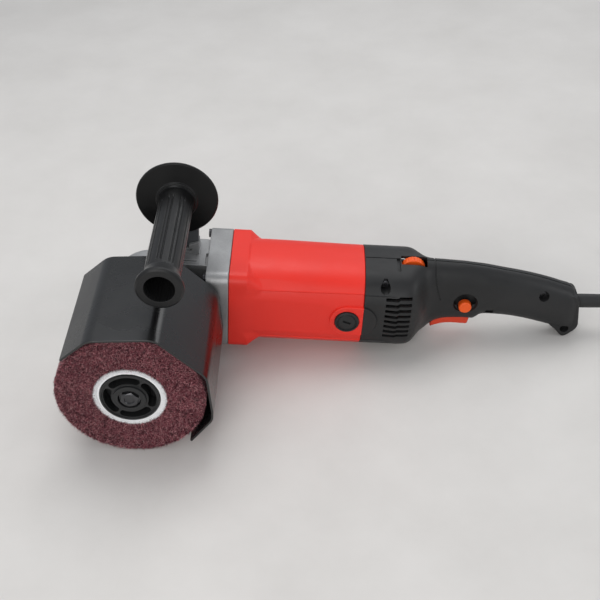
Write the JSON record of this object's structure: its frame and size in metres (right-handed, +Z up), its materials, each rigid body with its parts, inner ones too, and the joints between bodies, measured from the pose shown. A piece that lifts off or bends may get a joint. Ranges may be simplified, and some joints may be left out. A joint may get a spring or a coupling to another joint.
{
  "type": "drum sander",
  "caption": "Hand-held drum burnishing machine: abrasive drum under a sheet guard, side grip, geared motor body, trigger handle and a cord with plug.",
  "frame": {"origin": "middle of the tool's footprint, without its free cord, on the surface that the drum and the tail lug stand on", "axes": "+X from the drum towards the cord, +Y from the drum towards the gear case, +Z up; the motor axis leans 4.5 degrees, tail down"},
  "size_m": [0.702, 0.2707, 0.1882],
  "materials": {
    "abrasive": "non-woven abrasive fibre, maroon, matt",
    "white_core": "pressed white fibre",
    "hub_plastic": "moulded black plastic, satin",
    "steel": "ground steel",
    "dark_steel": "blackened steel",
    "cast_aluminium": "die-cast, lightly blasted",
    "guard_paint": "semi-gloss black powder coat on sheet steel",
    "grip_rubber": "soft black grip plastic, satin",
    "bracket_grey": "dark grey paint, satin",
    "red_plastic": "red moulded plastic, satin",
    "black_plastic": "black moulded plastic, fine texture",
    "orange_plastic": "orange moulded plastic",
    "trigger_red": "orange-red moulded plastic",
    "brass": "sheet brass",
    "carbon": "pressed carbon",
    "copper": "enamelled copper wire and copper bar",
    "circuit_board": "coated circuit board",
    "cord_rubber": "black rubber, satin"
  },
  "bodies": {
    "tool_body": {"gear_case": "cast_aluminium", "spindle_rear_bearing": "steel", "armature_front_bearing": "steel", "bearing_box": "cast_aluminium", "spindle_front_bearing": "steel", "side_grip": "grip_rubber", "side_grip_bolt": "steel", "grip_bracket": "bracket_grey", "grip_bracket_screw_1": "dark_steel", "grip_bracket_screw_2": "dark_steel", "motor_housing": "red_plastic", "brush_holder_near": "brass", "brush_holder_far": "brass", "carbon_brush_near": "carbon", "carbon_brush_far": "carbon", "brush_cap_near": "black_plastic", "brush_cap_far": "black_plastic", "armature_rear_bearing": "steel", "fan_baffle": "black_plastic", "stator_core": "dark_steel", "field_coil_1": "copper", "field_coil_2": "copper", "rear_shell_near": "black_plastic", "rear_shell_far": "black_plastic", "shell_screw_1": "dark_steel", "shell_screw_2": "dark_steel", "bearing_bridge": "black_plastic", "speed_board": "circuit_board", "switch_body": "black_plastic", "strain_relief": "cord_rubber", "cord_clamp": "black_plastic", "cord": "cord_rubber", "cord_tail": "cord_rubber", "cord_coil": "cord_rubber", "plug": "cord_rubber", "gear_case_screw_1": "dark_steel", "gear_case_screw_2": "dark_steel", "gear_case_screw_3": "dark_steel", "gear_case_screw_4": "dark_steel"},
    "drum_assembly": {"abrasive_drum": "abrasive", "drum_core": "white_core", "hub_cap_near": "hub_plastic", "hub_cap_far": "hub_plastic", "drum_bolt": "dark_steel", "spindle": "steel", "spindle_key": "steel", "bevel_ring_gear": "steel"},
    "armature": {"armature_shaft": "steel", "armature_core": "dark_steel", "armature_winding_front": "copper", "armature_winding_rear": "copper", "commutator": "copper", "cooling_fan": "black_plastic", "bevel_pinion": "steel"},
    "guard": {"guard_hood": "guard_paint", "guard_clamp_band": "dark_steel", "guard_clamp_screw": "steel"},
    "trigger_lever": {"trigger": "trigger_red"},
    "lock_on_button": {"lock_button": "orange_plastic"},
    "dial_wheel": {"speed_dial": "orange_plastic"}
  },
  "joints": [
    {"name": "drum_spin", "type": "hinge", "parent": "tool_body", "child": "drum_assembly", "pos_m": [-0.19264, -0.04348, 0.06], "axis": [0, 1, 0], "continuous": true},
    {"name": "armature_spin", "type": "hinge", "parent": "tool_body", "child": "armature", "pos_m": [-0.06304, 0.05517, 0.04982], "axis": [0.9969, 0, -0.0783], "continuous": true},
    {"name": "guard_turn", "type": "hinge", "parent": "tool_body", "child": "guard", "pos_m": [-0.19264, 0.01852, 0.06], "axis": [0, 1, 0], "range_deg": [-60, 25]},
    {"name": "trigger_press", "type": "hinge", "parent": "tool_body", "child": "trigger_lever", "pos_m": [0.06347, 0.05517, 0.02584], "axis": [0, -1, 0], "range_deg": [0, 5], "stiffness_Nm_per_rad": 2, "springref_deg": -5.73},
    {"name": "lock_press", "type": "slide", "parent": "tool_body", "child": "lock_on_button", "axis": [0, 1, 0], "range_m": [0, 0.003], "stiffness_N_per_m": 300, "springref_m": -0.001},
    {"name": "dial_turn", "type": "hinge", "parent": "tool_body", "child": "dial_wheel", "pos_m": [0.04207, 0.05517, 0.07266], "axis": [0, 1, 0], "range_deg": [-135, 135]}
  ],
  "couplings": [
    {"joint": "armature_spin", "follows": "drum_spin", "ratio": 4}
  ]
}
